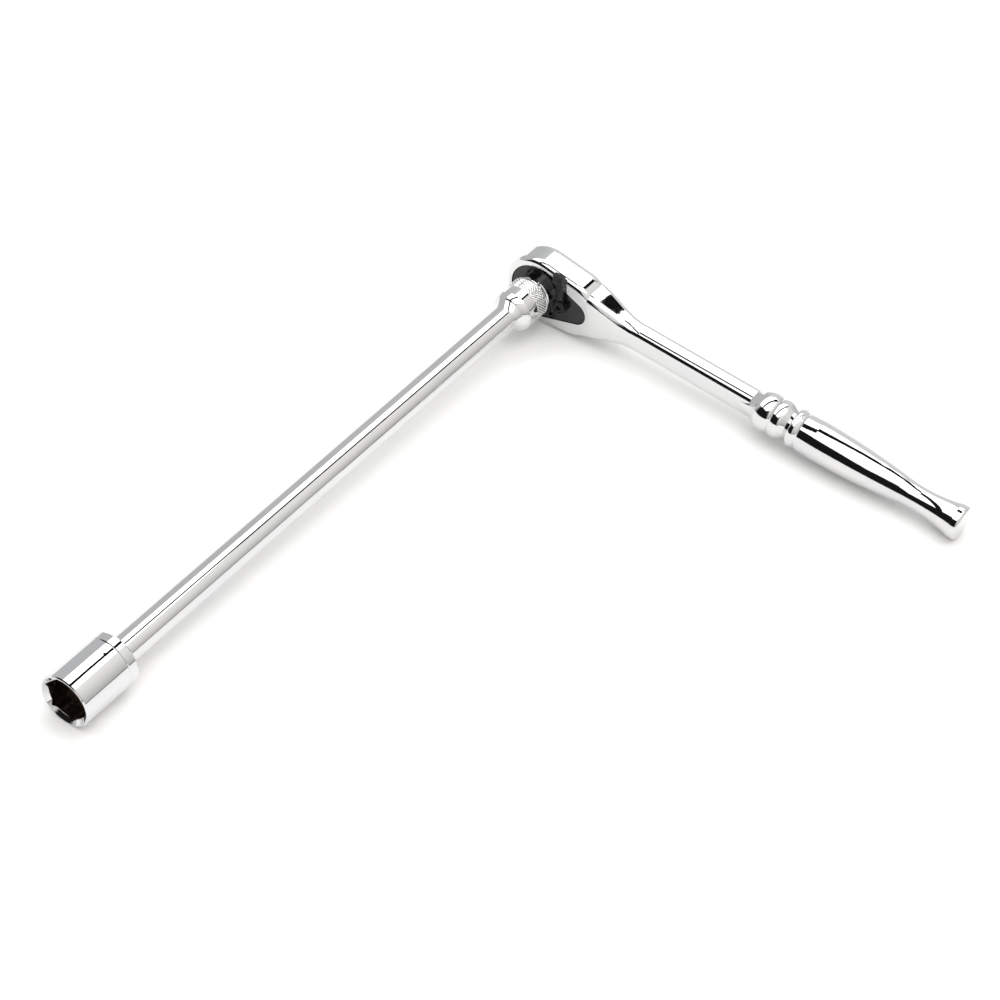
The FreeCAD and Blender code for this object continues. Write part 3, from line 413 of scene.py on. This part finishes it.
DRIVE_SPIN = named(frame["joints"], "drive_spin")
DRIVE_POINT = Vector(DRIVE_SPIN["pos_m"])
DRIVE_AXIS = Vector(DRIVE_SPIN["axis"]).normalized()
BALL_AXIS = -Vector(named(frame["joints"], "drive_ball_press")["axis"]).normalized()
SOCKET_MOUTH = Vector(named(frame["record"]["mounts"], "hex_opening")["pos_m"])


def drive_frame(distance):
    """Axes at a point on the drive axis: Z along it towards the socket, X towards the detent ball."""
    side = DRIVE_AXIS.cross(BALL_AXIS)
    turn = Matrix((BALL_AXIS, side, DRIVE_AXIS)).transposed().to_4x4()
    return Matrix.Translation(DRIVE_POINT + DRIVE_AXIS * distance) @ turn


# The knurl's sleeve lies in a shallow groove round the bar's swelling end.
KNURL = {
    "start": 5.95 * MM,
    "length": 7.1 * MM,
    "inner": 10.12 * MM,
    "root": 10.2 * MM,
    "height": 0.23 * MM,
    "count": 40,
}
KNURL_ROW = 0.14 * MM
KNURL_RUN_OUT = 0.35 * MM
POINTS_PER_RIDGE = 8
FLATTENING = 1.35


def knurled_band(name, body, slot_name, finish, start, length, inner, root, height, count):
    """A closed ring with a diamond knurl round its outside."""
    rows = max(int(length / KNURL_ROW), 8)
    spokes = count * POINTS_PER_RIDGE
    lead = 2 * math.pi / count
    angles = [2 * math.pi * spoke / spokes for spoke in range(spokes)]
    made = bmesh.new()

    def ring(radii, z):
        return [made.verts.new((radius * math.cos(angle), radius * math.sin(angle), z))
                for radius, angle in zip(radii, angles)]

    rings = []
    for row in range(rows + 1):
        z = length * row / rows
        fade = min(1.0, z / KNURL_RUN_OUT, (length - z) / KNURL_RUN_OUT)
        radii = []
        for angle in angles:
            ridges = [abs(((angle + way * z / root) / lead) % 1.0 - 0.5) * 2 for way in (1, -1)]
            radii.append(root + height * min(1.0, FLATTENING * min(ridges)) * fade)
        rings.append(ring(radii, z))
    rings += [ring([inner] * spokes, z) for z in (length, 0.0)]
    for number, lower in enumerate(rings):
        upper = rings[(number + 1) % len(rings)]
        for spoke in range(spokes):
            after = (spoke + 1) % spokes
            made.faces.new((lower[spoke], lower[after], upper[after], upper[spoke]))
    mesh = bpy.data.meshes.new(name)
    bmesh.ops.recalc_face_normals(made, faces=made.faces)
    made.to_mesh(mesh)
    made.free()
    mesh.materials.append(finish)
    band = bpy.data.objects.new(name, mesh)
    bpy.context.scene.collection.objects.link(band)
    band.matrix_world = drive_frame(start)
    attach(band, body)


# ---------------------------------------------------------------- finishes by node

def dress(node, finish):
    """Give a CAD node its finish, and smooth shading across each of its faces."""
    mesh = frame["nodes"][node].data
    mesh.materials.clear()
    mesh.materials.append(finish)
    mesh.shade_smooth()


def dress_all():
    handle_chrome = chrome("handle_chrome", "X")
    bar_chrome = chrome("bar_chrome", "Y")
    oxide = black_oxide("black_oxide")
    steel = ground_steel("ground_steel")
    rubber = seal_rubber("seal_rubber")
    finishes = {
        "ratchet_body": handle_chrome,
        "drive_gear": bar_chrome,
        "extension_bar": bar_chrome,
        "socket": socket_chrome("socket_chrome", SOCKET_MOUTH, DRIVE_AXIS),
        "cover_plate": black_gloss("plate_lacquer"),
        "cover_screws": oxide,
        "reversing_lever": oxide,
        "lever_screw": black_oxide("screw_oxide", dullest=0.4),
        "hub_seal": rubber,
        "lever_seal": rubber,
    }
    for node in frame["nodes"]:
        dress(node, finishes.get(node, steel))
    knurled_band("extension_knurl", "extension", "chrome_steel", bar_chrome, **KNURL)


bpy.context.scene.view_settings.view_transform = "Standard"
add_camera()
add_room()
add_floor()
for box_name, place in SOFTBOXES.items():
    add_softbox(box_name, **place)
add_rail("middle_rail", **RAIL)
dress_all()
